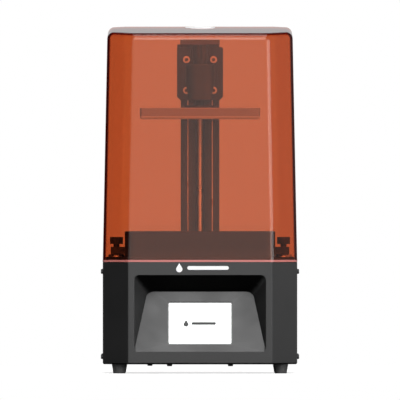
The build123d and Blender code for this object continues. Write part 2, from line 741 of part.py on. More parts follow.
with BuildPart() as column_foot:
    with BuildSketch(Plane.XY.offset(DECK_Z)):
        with Locations((0, FOOT_Y)):
            RectangleRounded(72, 36, 4)
        with Locations((0, COLUMN_MID)):
            Rectangle(2 * COLUMN_HALF_W + 2 * FIT, COLUMN_REAR - COLUMN_FRONT + 2 * FIT, mode=Mode.SUBTRACT)
        with Locations((0, FOOT_Y)):
            with GridLocations(56, 22, 2, 2):
                Circle(2 + FIT, mode=Mode.SUBTRACT)
    extrude(amount=6)
    chamfer(column_foot.faces().sort_by(Axis.Z)[-1].outer_wire().edges(), 1)

with BuildPart() as column_bolts:
    with BuildSketch(Plane.XY.offset(DECK_Z + 6)):
        with Locations((0, FOOT_Y)):
            with GridLocations(56, 22, 2, 2):
                Circle(3.5)
    extrude(amount=4)
    with BuildSketch(Plane.XY.offset(DECK_SKIN - 6)):
        with Locations((0, FOOT_Y)):
            with GridLocations(56, 22, 2, 2):
                Circle(2)
    extrude(amount=DECK_Z + 6 - DECK_SKIN + 6)
    with BuildSketch(Plane.XY.offset(DECK_Z + 10)):
        with Locations((0, FOOT_Y)):
            with GridLocations(56, 22, 2, 2):
                RegularPolygon(1.7, 6)
    extrude(amount=-2.2, mode=Mode.SUBTRACT)

# Column cap: closes the towers and holds the upper end of the screw.
with BuildPart() as column_cap:
    with BuildSketch(Plane.XY.offset(COLUMN_TOP)) as cap_line:
        with Locations((0, COLUMN_MID)):
            Rectangle(2 * COLUMN_HALF_W + 1, COLUMN_REAR - COLUMN_FRONT + 1)
        fillet(cap_line.vertices(), 2)
    extrude(amount=5.9)
    fillet(column_cap.faces().sort_by(Axis.Z)[-1].edges(), 1)
    with BuildSketch(Plane.XY.offset(COLUMN_TOP - 7)):
        with Locations((0, SCREW_Y + 2)):
            Rectangle(14.6, 17)
    extrude(amount=7)
    with BuildSketch(Plane.XY.offset(COLUMN_TOP - 7)):
        with Locations((0, SCREW_Y)):
            Circle(SCREW_R + RUN)
    extrude(amount=9.4, mode=Mode.SUBTRACT)

# Rails: grooved on both flanks for the balls and along the face for a steel race, screwed on from behind.
with BuildPart() as linear_rails:
    with BuildSketch(Plane.XY.offset(RAIL_LOW)):
        with Locations(*[(x, COLUMN_FRONT - RAIL_T / 2) for x in (-RAIL_X, RAIL_X)]):
            Rectangle(RAIL_W, RAIL_T)
        for side in (-1, 1):
            with Locations(*[(x + side * RAIL_W / 2, COLUMN_FRONT - 3) for x in (-RAIL_X, RAIL_X)]):
                Circle(0.8, mode=Mode.SUBTRACT)
        with Locations(*[(x, COLUMN_FRONT - RAIL_T + GROOVE_T / 2) for x in (-RAIL_X, RAIL_X)]):
            Rectangle(GROOVE_W, GROOVE_T, mode=Mode.SUBTRACT)
    extrude(amount=RAIL_HIGH - RAIL_LOW)

with BuildPart() as limit_sensor:
    with BuildSketch(Plane.XY.offset(COLUMN_TOP - SENSOR_H)):
        with Locations((FLAG_X, 71)):
            Rectangle(SENSOR_W, 12)
        with Locations((FLAG_X, 69.5)):
            Rectangle(1.8, 13, mode=Mode.SUBTRACT)
    extrude(amount=SENSOR_H)
    with BuildSketch(Plane.XY.offset(COLUMN_TOP)):
        with Locations((FLAG_X, 71)):
            Rectangle(SENSOR_W, 12)
    extrude(amount=-3)

# ---- carriage -------------------------------------------------------------------------------
with BuildPart() as guide_blocks:
    with BuildSketch(Plane.XY.offset(BLOCK_LOW)):
        with Locations(*[(x, (PLATE_REAR + BLOCK_REAR) / 2) for x in (-RAIL_X, RAIL_X)]):
            Rectangle(BLOCK_W, BLOCK_REAR - PLATE_REAR)
        with Locations(*[(x, 57) for x in (-RAIL_X, RAIL_X)]):
            Rectangle(RAIL_W + 0.3, 5.8, mode=Mode.SUBTRACT)
    extrude(amount=BLOCK_H)
    with BuildSketch(Plane.XZ.offset(-PLATE_REAR)):
        with Locations(*CARRIAGE_SCREWS):
            Circle(2.5 + FIT)
    extrude(amount=-2.5, mode=Mode.SUBTRACT)

with BuildPart() as lead_nut:
    with BuildSketch(Plane.XY.offset(NUT_LOW)):
        with Locations((0, (PLATE_REAR + NUT_REAR) / 2)):
            Rectangle(13.6, NUT_REAR - PLATE_REAR)
        with Locations((0, SCREW_Y)):
            Circle(SCREW_R + RUN, mode=Mode.SUBTRACT)
    extrude(amount=NUT_H)

with BuildPart() as limit_flag:
    with BuildSketch(Plane.XY.offset(FLAG_LOW)):
        with Locations((FLAG_X, 59.5)):
            Rectangle(1, 17)
        with Locations((FLAG_X + 1, PLATE_REAR + 0.5)):
            Rectangle(3, 1)
    extrude(amount=COLUMN_TOP - 4 - FLAG_LOW)

with BuildPart() as carriage_plate:
    with BuildSketch(Plane.XZ.offset(-PLATE_FRONT)) as plate_line:
        with Locations((0, (PLATE_LOW + PLATE_TOP) / 2)):
            Rectangle(2 * PLATE_HALF_W, PLATE_TOP - PLATE_LOW)
        fillet(plate_line.vertices().group_by(Axis.Y)[-1], 2.5)
        chamfer(plate_line.vertices().group_by(Axis.Y)[0], 4)
        with Locations(*CARRIAGE_SCREWS):
            Circle(2.5 + FIT, mode=Mode.SUBTRACT)
    extrude(amount=-(PLATE_REAR - PLATE_FRONT))
    chamfer(carriage_plate.faces().sort_by(Axis.Y)[0].outer_wire().edges(), 0.5)

with BuildPart() as carriage_screws:
    with BuildSketch(Plane.XZ.offset(-PLATE_FRONT)):
        with Locations(*CARRIAGE_SCREWS):
            Circle(4.3)
    extrude(amount=5)
    chamfer(carriage_screws.faces().filter_by(Axis.Y).sort_by(Axis.Y)[:4].edges(), 0.5)
    with BuildSketch(Plane.XZ.offset(-PLATE_FRONT)):
        with Locations(*CARRIAGE_SCREWS):
            Circle(2.5)
    extrude(amount=-8.4)
    with BuildSketch(Plane.XZ.offset(5 - PLATE_FRONT)):
        with Locations(*CARRIAGE_SCREWS):
            RegularPolygon(2.3, 6)
    extrude(amount=-4, mode=Mode.SUBTRACT)


def arm_block(low, high):
    """The arm's head between two heights: wide above, narrowing downwards in the front view."""
    with BuildPart() as head:
        with BuildSketch(Plane.XZ.offset(-10)):
            with BuildLine():
                Polyline(
                    (-17.5, ARM_TOP), (17.5, ARM_TOP), (17.5, 345), (13, ARM_LOW),
                    (-13, ARM_LOW), (-17.5, 345), close=True,
                )
            make_face()
        extrude(amount=60)
        with BuildSketch(Plane.XY.offset(low)) as plan:
            with Locations((0, PLATFORM_Y)):
                RectangleRounded(35, 37, HEAD_R)
        extrude(amount=high - low, mode=Mode.INTERSECT)
    return head.part


arm_head = arm_block(BALL_Z + 0.2, ARM_TOP)
retainer_block = arm_block(ARM_LOW, BALL_Z)

# Platform arm: head over the platform with the upper half of the ball socket, web back to the plate.
with BuildPart() as platform_arm:
    with BuildSketch(Plane.YZ.offset(-10)):
        with BuildLine():
            Polyline(
                (PLATE_FRONT, ARM_TOP - 3), (PLATFORM_Y, ARM_TOP - 3), (PLATFORM_Y, 340),
                (8, 334), (PLATE_FRONT, 334), close=True,
            )
        make_face()
    extrude(amount=20)
    add(arm_head)
    chamfer(platform_arm.faces().sort_by(Axis.Z)[-1].edges(), 1)
    with Locations((0, PLATFORM_Y, BALL_Z)):
        Sphere(BALL_R + RUN, mode=Mode.SUBTRACT)
    with BuildSketch(Plane.XY.offset(BALL_Z)):
        with Locations((0, PLATFORM_Y)):
            Circle(SCREW_R + RUN)
    extrude(amount=ARM_TOP - BALL_Z, mode=Mode.SUBTRACT)
    with BuildSketch(Plane.XY.offset(BALL_Z)):
        with Locations((0, PLATFORM_Y)):
            with GridLocations(*RETAINER_GRID, 2, 2):
                Circle(1.5 + FIT)
    extrude(amount=8, mode=Mode.SUBTRACT)

with BuildPart() as ball_retainer:
    add(retainer_block)
    with Locations((0, PLATFORM_Y, BALL_Z)):
        Sphere(BALL_R + RUN, mode=Mode.SUBTRACT)
    with BuildSketch(Plane.XY.offset(ARM_LOW)):
        with Locations((0, PLATFORM_Y)):
            with GridLocations(*RETAINER_GRID, 2, 2):
                Circle(1.5 + FIT)
    extrude(amount=BALL_Z - ARM_LOW, mode=Mode.SUBTRACT)
    with BuildSketch(Plane.XY.offset(ARM_LOW)):
        with Locations((0, PLATFORM_Y)):
            with GridLocations(*RETAINER_GRID, 2, 2):
                Circle(2.9)
    extrude(amount=3.2, mode=Mode.SUBTRACT)

with BuildPart() as retainer_screws:
    with BuildSketch(Plane.XY.offset(ARM_LOW + 0.3)):
        with Locations((0, PLATFORM_Y)):
            with GridLocations(*RETAINER_GRID, 2, 2):
                Circle(2.7)
    extrude(amount=2.9)
    with BuildSketch(Plane.XY.offset(ARM_LOW + 3.2)):
        with Locations((0, PLATFORM_Y)):
            with GridLocations(*RETAINER_GRID, 2, 2):
                Circle(1.5)
    extrude(amount=11)
    with BuildSketch(Plane.XY.offset(ARM_LOW + 0.3)):
        with Locations((0, PLATFORM_Y)):
            with GridLocations(*RETAINER_GRID, 2, 2):
                RegularPolygon(1.3, 6)
    extrude(amount=1.6, mode=Mode.SUBTRACT)

# Clamp knob: lobed grip moulded onto a stud that locks the ball.
with BuildPart() as platform_knob:
    with BuildSketch(Plane.XY.offset(ARM_TOP + 0.4)):
        with Locations((0, PLATFORM_Y)):
            Circle(8)
    extrude(amount=4)
    with BuildSketch(Plane.XY.offset(ARM_TOP + 4.4)):
        with Locations((0, PLATFORM_Y)):
            Circle(11)
            with PolarLocations(12.6, 8):
                Circle(3, mode=Mode.SUBTRACT)
    extrude(amount=18.6)
    fillet(platform_knob.faces().sort_by(Axis.Z)[-1].edges(), 1)
    with BuildSketch(Plane.XY.offset(ARM_TOP + 0.4)):
        with Locations((0, PLATFORM_Y)):
            Circle(SCREW_R)
    extrude(amount=BALL_Z + BALL_R - ARM_TOP)

PLATFORM_TOP = PLATFORM_LOW + PLATFORM_T
with BuildPart() as ball_stud:
    with BuildSketch(Plane.XY.offset(PLATFORM_TOP)):
        with Locations((0, PLATFORM_Y)):
            Circle(20)
            with PolarLocations(15, 4, start_angle=45):
                Circle(2 + FIT, mode=Mode.SUBTRACT)
    extrude(amount=3)
    with BuildSketch(Plane.XY.offset(PLATFORM_TOP)):
        with Locations((0, PLATFORM_Y)):
            Circle(5.4)
    extrude(amount=BALL_Z - PLATFORM_TOP)
    with Locations((0, PLATFORM_Y, BALL_Z)):
        Sphere(BALL_R)

with BuildPart() as stud_screws:
    with BuildSketch(Plane.XY.offset(PLATFORM_TOP + 3)):
        with Locations((0, PLATFORM_Y)):
            with PolarLocations(15, 4, start_angle=45):
                Circle(3.3)
    extrude(amount=2.4)
    with BuildSketch(Plane.XY.offset(PLATFORM_TOP - 6)):
        with Locations((0, PLATFORM_Y)):
            with PolarLocations(15, 4, start_angle=45):
                Circle(2)
    extrude(amount=9)
    with BuildSketch(Plane.XY.offset(PLATFORM_TOP + 5.4)):
        with Locations((0, PLATFORM_Y)):
            with PolarLocations(15, 4, start_angle=45):
                RegularPolygon(1.4, 6)
    extrude(amount=-1.4, mode=Mode.SUBTRACT)

with BuildPart() as build_platform:
    with BuildSketch(Plane.XY.offset(PLATFORM_LOW)):
        with Locations((0, PLATFORM_Y)):
            RectangleRounded(142.2, 80, 3)
    extrude(amount=PLATFORM_T)
    chamfer(build_platform.faces().sort_by(Axis.Z)[0].edges(), 2.2, 1)
    chamfer(build_platform.faces().sort_by(Axis.Z)[-1].edges(), 1)
    with BuildSketch(Plane.XY.offset(PLATFORM_TOP)):
        with Locations((0, PLATFORM_Y)):
            with PolarLocations(15, 4, start_angle=45):
                Circle(2 + FIT)
    extrude(amount=-7, mode=Mode.SUBTRACT)

# ---- vat --------------------------------------------------------------------------------------
FILM_T = 0.15
RING_LOW = DECK_Z + 0.2
FILM_SCREWS = [(x, PLATFORM_Y + y) for x in (-60, -30, 0, 30, 60) for y in (-50, 50)]
FILM_SCREWS += [(x, PLATFORM_Y + y) for x in (-79.5, 79.5) for y in (-25, 25)]

with BuildPart() as vat_frame:
    with BuildSketch(Plane.XY.offset(DECK_Z)):
        with Locations((0, PLATFORM_Y)):
            RectangleRounded(2 * VAT_HALF_W, 2 * VAT_HALF_D, 12)
    extrude(amount=VAT_TOP - DECK_Z)
    for z, w, d in ((FILM_Z, 148, 88), (VAT_TOP, 162, 104)):
        with BuildSketch(Plane.XY.offset(z)):
            with Locations((0, PLATFORM_Y)):
                RectangleRounded(w, d, 9)
    loft(ruled=True, mode=Mode.SUBTRACT)
    fillet(vat_frame.faces().sort_by(Axis.Z)[-1].edges(), 1.2)
    with BuildSketch(Plane.XY.offset(DECK_Z)):
        with Locations((0, PLATFORM_Y)):
            RectangleRounded(170, 112, 8)
    extrude(amount=FILM_Z + FILM_T - DECK_Z, mode=Mode.SUBTRACT)
    with BuildSketch(Plane.XY.offset(147)):
        with Locations((0, PLATFORM_Y)):
            RectangleRounded(2 * VAT_HALF_W, 2 * VAT_HALF_D, 12)
            RectangleRounded(2 * VAT_HALF_W - 1.6, 2 * VAT_HALF_D - 1.6, 11.2, mode=Mode.SUBTRACT)
    extrude(amount=1.2, mode=Mode.SUBTRACT)
    for side in (-1, 1):
        with BuildSketch(Plane.XY.offset(DECK_Z + 3)):
            with Locations((side * (VAT_HALF_W + 7.6), PLATFORM_Y)):
                Rectangle(18.4, 26)
        extrude(amount=8.9)
    with BuildSketch(Plane.XY.offset(DECK_Z + 3)):
        with Locations(*[(x, PLATFORM_Y) for x in (-THUMB_X, THUMB_X)]):
            Circle(3.3)
    extrude(amount=9, mode=Mode.SUBTRACT)
    with BuildSketch(Plane.XY.offset(FILM_Z)):
        with Locations(*FILM_SCREWS):
            Circle(1.25 + FIT)
    extrude(amount=5, mode=Mode.SUBTRACT)

with BuildPart() as vat_film:
    with BuildSketch(Plane.XY.offset(FILM_Z)):
        with Locations((0, PLATFORM_Y)):
            RectangleRounded(169, 111, 7.5)
        with Locations(*FILM_SCREWS):
            Circle(1.25 + FIT, mode=Mode.SUBTRACT)
    extrude(amount=FILM_T)

with BuildPart() as film_ring:
    with BuildSketch(Plane.XY.offset(RING_LOW)):
        with Locations((0, PLATFORM_Y)):
            RectangleRounded(169, 111, 7.5)
            RectangleRounded(148, 88, 9, mode=Mode.SUBTRACT)
        with Locations(*FILM_SCREWS):
            Circle(1.25 + FIT, mode=Mode.SUBTRACT)
    extrude(amount=FILM_Z - RING_LOW)
    with BuildSketch(Plane.XY.offset(RING_LOW)):
        with Locations(*FILM_SCREWS):
            Circle(2.4)
    extrude(amount=1.6, mode=Mode.SUBTRACT)

with BuildPart() as film_screws:
    with BuildSketch(Plane.XY.offset(RING_LOW + 0.1)):
        with Locations(*FILM_SCREWS):
            Circle(2.2)
    extrude(amount=1.5)
    with BuildSketch(Plane.XY.offset(RING_LOW + 1.6)):
        with Locations(*FILM_SCREWS):
            Circle(1.25)
    extrude(amount=5.5)


def thumbscrew(x):
    """Knurled knob on a collar and a threaded shank."""
    with BuildPart() as screw:
        with BuildSketch(Plane.XY.offset(152.9)):
            with Locations((x, PLATFORM_Y)):
                Circle(7.7)
                with PolarLocations(8.1, 24):
                    Circle(0.75, mode=Mode.SUBTRACT)
        extrude(amount=8.4)
        with BuildSketch(Plane.XY.offset(149.7)):
            with Locations((x, PLATFORM_Y)):
                Circle(3.6)
        extrude(amount=3.2)
        with BuildSketch(Plane.XY.offset(131)):
            with Locations((x, PLATFORM_Y)):
                Circle(3)
        extrude(amount=18.7)
    return screw


thumbscrew_left = thumbscrew(-THUMB_X)
thumbscrew_right = thumbscrew(THUMB_X)

# ---- cover --------------------------------------------------------------------------------------
cover_inside = cover_solid(COVER_WALL, CASE_TOP - 1)

with BuildPart() as uv_cover:
    add(cover_solid(0, CASE_TOP + FLANGE_T))
    with BuildSketch(Plane.XY.offset(CASE_TOP)) as rim_line:
        Polygon(*footprint(-0.2), align=None)
        fillet(rim_line.vertices(), COVER_EDGE_R)
    extrude(amount=FLANGE_T)
    add(cover_inside, mode=Mode.SUBTRACT)

badge_plane = Plane(
    origin=(0, BADGE_Y, COVER_FRONT_TOP + (BADGE_Y + HALF_D - COVER_LEAN) * tan(COVER_SLOPE)),
    x_dir=(1, 0, 0),
    z_dir=(0, -sin(COVER_SLOPE), cos(COVER_SLOPE)),
)
with BuildPart() as cover_badge:
    with BuildSketch(badge_plane):
        Circle(18)
    extrude(amount=0.6)
    with BuildSketch(badge_plane.offset(0.3)):
        Circle(15.5)
        Circle(14.5, mode=Mode.SUBTRACT)
    extrude(amount=1, mode=Mode.SUBTRACT)

# ---- one file per piece -----------------------------------------------------------------------
pieces = {
    "front_fascia": front_fascia, "rear_housing": rear_housing, "base_plate": base_plate,
    "feet": feet, "case_screws": case_screws, "front_badge": front_badge,
    "touch_glass": touch_glass, "touch_display": touch_display, "touch_board": touch_board,
    "top_deck": top_deck, "thumb_bushings": thumb_bushings, "lcd_panel": lcd_panel,
    "exposure_glass": exposure_glass, "uv_housing": uv_housing, "uv_lens_plate": uv_lens_plate,
    "uv_led_board": uv_led_board, "uv_leds": uv_leds, "heat_sink": heat_sink,
    "light_fan_frame": light_fan_frame, "light_fan_rotor": light_fan_rotor,
    "rear_fan_frame": rear_fan_frame, "rear_fan_rotor": rear_fan_rotor,
    "standoffs": standoffs, "main_board": main_board, "board_parts": board_parts,
    "usb_socket": usb_socket, "power_inlet": power_inlet, "switch_body": switch_body,
    "power_rocker": power_rocker, "motor_bracket": motor_bracket, "z_motor": z_motor,
    "motor_shaft": motor_shaft, "screw_coupling": screw_coupling, "lead_screw": lead_screw,
    "z_column": z_column, "column_foot": column_foot, "column_bolts": column_bolts,
    "column_cap": column_cap, "linear_rails": linear_rails, "limit_sensor": limit_sensor,
    "guide_blocks": guide_blocks, "lead_nut": lead_nut, "limit_flag": limit_flag,
    "carriage_plate": carriage_plate, "carriage_screws": carriage_screws,
    "platform_arm": platform_arm, "ball_retainer": ball_retainer, "retainer_screws": retainer_screws,
    "platform_knob": platform_knob, "ball_stud": ball_stud,
    "stud_screws": stud_screws, "build_platform": build_platform, "vat_frame": vat_frame,
    "vat_film": vat_film, "film_ring": film_ring, "film_screws": film_screws,
    "thumbscrew_left": thumbscrew_left, "thumbscrew_right": thumbscrew_right,
    "uv_cover": uv_cover, "cover_badge": cover_badge,
}
for name, piece in pieces.items():
    piece.part.label = name
    export_step(piece.part, f"parts/{name}.step")
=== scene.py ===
import json
import math

import bmesh
import bpy
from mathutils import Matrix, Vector


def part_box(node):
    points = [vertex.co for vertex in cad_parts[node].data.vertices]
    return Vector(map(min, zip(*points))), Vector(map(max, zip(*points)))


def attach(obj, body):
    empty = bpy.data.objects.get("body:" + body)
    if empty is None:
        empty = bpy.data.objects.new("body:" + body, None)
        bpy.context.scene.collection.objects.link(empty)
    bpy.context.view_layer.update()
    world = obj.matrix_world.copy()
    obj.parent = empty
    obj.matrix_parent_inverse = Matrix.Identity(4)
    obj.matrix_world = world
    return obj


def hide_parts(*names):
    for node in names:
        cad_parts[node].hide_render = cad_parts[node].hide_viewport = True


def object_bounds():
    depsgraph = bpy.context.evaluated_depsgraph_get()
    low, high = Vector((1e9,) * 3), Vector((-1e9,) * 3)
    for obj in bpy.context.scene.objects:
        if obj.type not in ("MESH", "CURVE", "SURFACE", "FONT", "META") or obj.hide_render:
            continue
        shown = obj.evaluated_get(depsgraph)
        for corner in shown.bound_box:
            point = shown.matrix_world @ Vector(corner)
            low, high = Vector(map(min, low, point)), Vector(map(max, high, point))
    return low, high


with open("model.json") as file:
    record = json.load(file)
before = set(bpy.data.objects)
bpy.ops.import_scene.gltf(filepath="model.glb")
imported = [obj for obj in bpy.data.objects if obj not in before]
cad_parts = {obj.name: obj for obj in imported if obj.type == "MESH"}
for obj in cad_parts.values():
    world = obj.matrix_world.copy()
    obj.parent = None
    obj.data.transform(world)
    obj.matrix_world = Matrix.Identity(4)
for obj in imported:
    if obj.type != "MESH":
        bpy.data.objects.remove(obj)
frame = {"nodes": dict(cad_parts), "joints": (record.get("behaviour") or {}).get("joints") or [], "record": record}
cad_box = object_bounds()
MM = 0.001
RIGHT = Vector((1, 0, 0))


# ---- node helpers --------------------------------------------------------------------------------
def new_material(name):
    """An empty node material, its tree and its output node."""
    material = bpy.data.materials.new(name)
    material.use_nodes = True
    tree = material.node_tree
    tree.nodes.clear()
    return material, tree, tree.nodes.new("ShaderNodeOutputMaterial")


def node(tree, kind, inputs=None, **settings):
    """Adds a shader node, sets its options, and links or sets its inputs."""
    made = tree.nodes.new("ShaderNode" + kind)
    for key, value in settings.items():
        setattr(made, key, value)
    for key, value in (inputs or {}).items():
        if isinstance(value, bpy.types.NodeSocket):
            tree.links.new(value, made.inputs[key])
        else:
            made.inputs[key].default_value = value
    return made


def math_node(tree, operation, a, b=0.0):
    return node(tree, "Math", {0: a, 1: b}, operation=operation).outputs[0]


def plus(tree, a, b):
    return math_node(tree, "ADD", a, b)


def times(tree, a, b):
    return math_node(tree, "MULTIPLY", a, b)


def one_minus(tree, a):
    return math_node(tree, "SUBTRACT", 1.0, a)


def swing(tree, fac, size):
    """A noise's 0..1 as -size/2..size/2."""
    return times(tree, math_node(tree, "SUBTRACT", fac, 0.5), size)


def ramp(tree, fac, low, high):
    """Maps fac from low..high to 0..1, smoothly."""
    limits = {"Value": fac, "From Min": low, "From Max": high}
    return node(tree, "MapRange", limits, interpolation_type="SMOOTHSTEP").outputs["Result"]


def mix_colour(tree, fac, a, b):
    made = node(tree, "Mix", data_type="RGBA")
    for socket, value in ((made.inputs[0], fac), (made.inputs[6], a), (made.inputs[7], b)):
        if isinstance(value, bpy.types.NodeSocket):
            tree.links.new(value, socket)
        else:
            socket.default_value = value
    return made.outputs[2]


def mix_shader(tree, fac, a, b):
    return node(tree, "MixShader", {0: fac, 1: a.outputs[0], 2: b.outputs[0]})


def seen_or_else(tree, seen, otherwise):
    """One shader for what is looked at, and another for the light that it gives the things around it."""
    return mix_shader(tree, node(tree, "LightPath").outputs["Is Camera Ray"], otherwise, seen)


def finished(material, tree, out, shader):
    """The material, with the shader on its output."""
    tree.links.new(shader.outputs[0], out.inputs["Surface"])
    return material


def millimetres(tree, stretch=(1, 1, 1)):
    """The point on the object in millimetres, squeezed along each axis by stretch."""
    coords = node(tree, "TexCoord").outputs["Object"]
    scale = tuple(s / MM for s in stretch)
    return node(tree, "Mapping", {"Vector": coords, "Scale": scale}).outputs["Vector"]


def up_part(tree, vector):
    """The Z of a vector socket."""
    return node(tree, "SeparateXYZ", {0: vector}).outputs["Z"]


def noise(tree, point, scale, detail=3.0, rough=0.5):
    inputs = {"Vector": point, "Scale": scale, "Detail": detail, "Roughness": rough}
    return node(tree, "TexNoise", inputs).outputs["Fac"]


def bump_node(tree, height, strength, depth):
    """A normal from a height; depth is in millimetres."""
    inputs = {"Height": height, "Strength": strength, "Distance": depth * MM}
    return node(tree, "Bump", inputs).outputs["Normal"]


def rgba(colour, gain=1.0):
    return (colour[0] * gain, colour[1] * gain, colour[2] * gain, 1.0)


def grey(level):
    return rgba((level, level, level))


# ---- materials -----------------------------------------------------------------------------------
# Noise scales are to the millimetre.
WHITE = grey(1.0)
# colour of the painted shade in hollows
HOLLOW_SHADE_COLOUR = grey(0.003)
# colour of the painted shade on faces that look down
SHADE = grey(0.001)
GRAIN_DEPTH = 0.02          # millimetres
GRAIN_TINT = 0.25           # how much of the grain shows in the colour
MOTTLE_SCALE = 0.035
EDGE_BEGINS = 0.51          # pointiness: 0.5 is flat, more is an outer edge
EDGE_FULL = 0.58
RUBBED_GAIN = 1.6           # a rubbed edge is this times the colour
RUBBED_GREY = 0.03          # and this much grey
DOWN_FULL = -0.6            # the normal's Z where a face is wholly an underside, with the full painted shade
DOWN_NONE = -0.2            # and where it has none
ROUGH_SLOW = 0.25           # how far the roughness swings with the mottling
ROUGH_FINE = 0.12           # and with the grain
COAT_ROUGH = 0.12


def surface(
    name, colour, rough, metal=0.0, grain=1.4, bump=0.06, mottle=0.10, wear=0.0, coat=0.0,
    stretch=(1, 1, 1), gloss=0.5, hollow_shade=0.0, reach=4.0, dark_at=(0.30, 0.80), shaded_underside_share=1.0,
):
    """Plastic, paint or metal: fine grain in the bump, slow mottling, worn edges, and painted shade in the hollows
    and on the undersides.

    reach is the width of a hollow in millimetres, and dark_at the shares of open sky where the painted hollow
    shade is full and gone. The last argument is the share of the colour and gloss left on the faces that look
    down, which are painted as in shade.
    """
    material, tree, out = new_material(name)
    fine = noise(tree, millimetres(tree, stretch), grain, 4.0, 0.6)
    slow = noise(tree, millimetres(tree), MOTTLE_SCALE, 4.0, 0.55)
    tone = mix_colour(tree, slow, rgba(colour, 1 - mottle), rgba(colour, 1 + mottle))
    tone = mix_colour(tree, times(tree, fine, GRAIN_TINT), tone, rgba(colour, 1 + 2 * mottle))
    if wear:
        edge = ramp(tree, node(tree, "NewGeometry").outputs["Pointiness"], EDGE_BEGINS, EDGE_FULL)
        rubbed = rgba([c * RUBBED_GAIN + RUBBED_GREY for c in colour])
        tone = mix_colour(tree, times(tree, edge, wear), tone, rubbed)
    # painted shade: ambient occlusion darkens the colour and gloss in hollows
    if hollow_shade:
        open_sky = node(tree, "AmbientOcclusion", {"Distance": reach * MM}, samples=8).outputs["AO"]
        hollow_shade_share = times(tree, one_minus(tree, ramp(tree, open_sky, *dark_at)), hollow_shade)
        tone = mix_colour(tree, hollow_shade_share, tone, HOLLOW_SHADE_COLOUR)
        gloss = times(tree, one_minus(tree, hollow_shade_share), gloss)
    # painted shade: faces that look down keep only a share of their colour and gloss
    if shaded_underside_share < 1:
        upward = up_part(tree, node(tree, "NewGeometry").outputs["Normal"])
        level = ramp(tree, upward, DOWN_FULL, DOWN_NONE)
        lit = plus(tree, times(tree, level, 1 - shaded_underside_share), shaded_underside_share)
        tone = mix_colour(tree, lit, SHADE, tone)
        gloss = times(tree, lit, gloss)
    shine = plus(tree, plus(tree, swing(tree, slow, ROUGH_SLOW), rough), swing(tree, fine, ROUGH_FINE))
    return finished(material, tree, out, node(tree, "BsdfPrincipled", {
        "Base Color": tone, "Roughness": shine, "Metallic": metal, "Specular IOR Level": gloss,
        "Coat Weight": coat, "Coat Roughness": COAT_ROUGH, "Normal": bump_node(tree, fine, bump, GRAIN_DEPTH),
    }))


def turned_metal(name, colour, rough, rings):
    """Machined metal with fine tool marks, rings to the millimetre, along Z."""
    material, tree, out = new_material(name)
    point = millimetres(tree)
    wobble = times(tree, noise(tree, point, 0.4), 3.0)
    marks = math_node(tree, "SINE", plus(tree, times(tree, up_part(tree, point), rings), wobble))
    speckle = noise(tree, point, 3.0, 5.0, 0.65)
    return finished(material, tree, out, node(tree, "BsdfPrincipled", {
        "Base Color": mix_colour(tree, speckle, rgba(colour, 0.85), rgba(colour, 1.1)),
        "Roughness": plus(tree, times(tree, speckle, 0.2), rough - 0.1),
        "Metallic": 1.0, "Normal": bump_node(tree, marks, 0.15, 0.01),
    }))


def sheet_mirror(tree, facing, power, grazing, head_on):
    """How much a clear sheet mirrors, from head on to grazing."""
    return plus(tree, times(tree, math_node(tree, "POWER", facing, power), grazing), head_on)


def sheet_shader(tree, mirror, tint, dust, veil, rough):
    """A clear sheet: what shows through it, under a veil of dust and a mirror."""
    through = node(tree, "BsdfTransparent", {"Color": tint})
    cloudy = mix_shader(tree, veil, through, node(tree, "BsdfDiffuse", {"Color": dust}))
    gloss = node(tree, "BsdfGlossy", {"Color": WHITE, "Roughness": rough})
    return mix_shader(tree, mirror, cloudy, gloss)


def clear(name, tint, rough=0.03, share=0.85, veil=0.03):
    """Thin clear sheet: mostly see-through, a mirror at grazing angles, a little haze and dust."""
    material, tree, out = new_material(name)
    facing = node(tree, "LayerWeight", {"Blend": 0.5}).outputs["Facing"]
    smear = noise(tree, millimetres(tree), 0.08, 4.0)
    return finished(material, tree, out, sheet_shader(
        tree, sheet_mirror(tree, facing, 5.0, 0.95, 0.04), rgba(tint), grey(0.8),
        plus(tree, times(tree, smear, veil), 1 - share), plus(tree, times(tree, smear, 0.08), rough),
    ))


COVER_TINT = (0.864, 0.604, 0.440)      # what each face of the cover lets through, by colour
COVER_SLANT = 0.2                       # how much deeper the tint is at grazing angles
COVER_DUST = (0.95, 0.36, 0.33, 1)
DUST_SHARE = 0.008                      # of the light that meets each face
FLANGE_VEIL = 0.5                       # the same on the flange, which is cloudy
FLANGE_TOP = 134.3                      # millimetres above the bench
WALL_COLOUR = (0.62, 0.0, 0.0, 1)       # what a long way inside the wall lets through
WALL_DENSITY = 60.0


def cover_plastic():
    """Tinted clear acrylic: each face tints what passes, and a long way through the wall goes dark."""
    material, tree, out = new_material("cover_acrylic")
    facing = node(tree, "LayerWeight", {"Blend": 0.5}).outputs["Facing"]
    depth = plus(tree, times(tree, facing, COVER_SLANT), 1.0)
    tint = [math_node(tree, "POWER", share, depth) for share in COVER_TINT]
    tinted = node(tree, "CombineColor", dict(enumerate(tint))).outputs[0]
    point = millimetres(tree)
    smear = noise(tree, point, 0.03, 5.0, 0.55)
    flange = one_minus(tree, ramp(tree, up_part(tree, point), FLANGE_TOP - 0.2, FLANGE_TOP + 0.2))
    veil = plus(tree, times(tree, smear, DUST_SHARE), times(tree, flange, FLANGE_VEIL))
    absorb = node(tree, "VolumeAbsorption", {"Color": WALL_COLOUR, "Density": WALL_DENSITY})
    tree.links.new(absorb.outputs[0], out.inputs["Volume"])
    return finished(material, tree, out, sheet_shader(
        tree, sheet_mirror(tree, facing, 6.0, 0.72, 0.026), tinted, COVER_DUST,
        veil, plus(tree, times(tree, smear, 0.03), 0.02),
    ))


PAGE_GLOW = 1.35
PIXEL_RATE = 40.0       # radians to the millimetre, for pixels 0.16 mm apart
PIXEL_DEPTH = 0.02


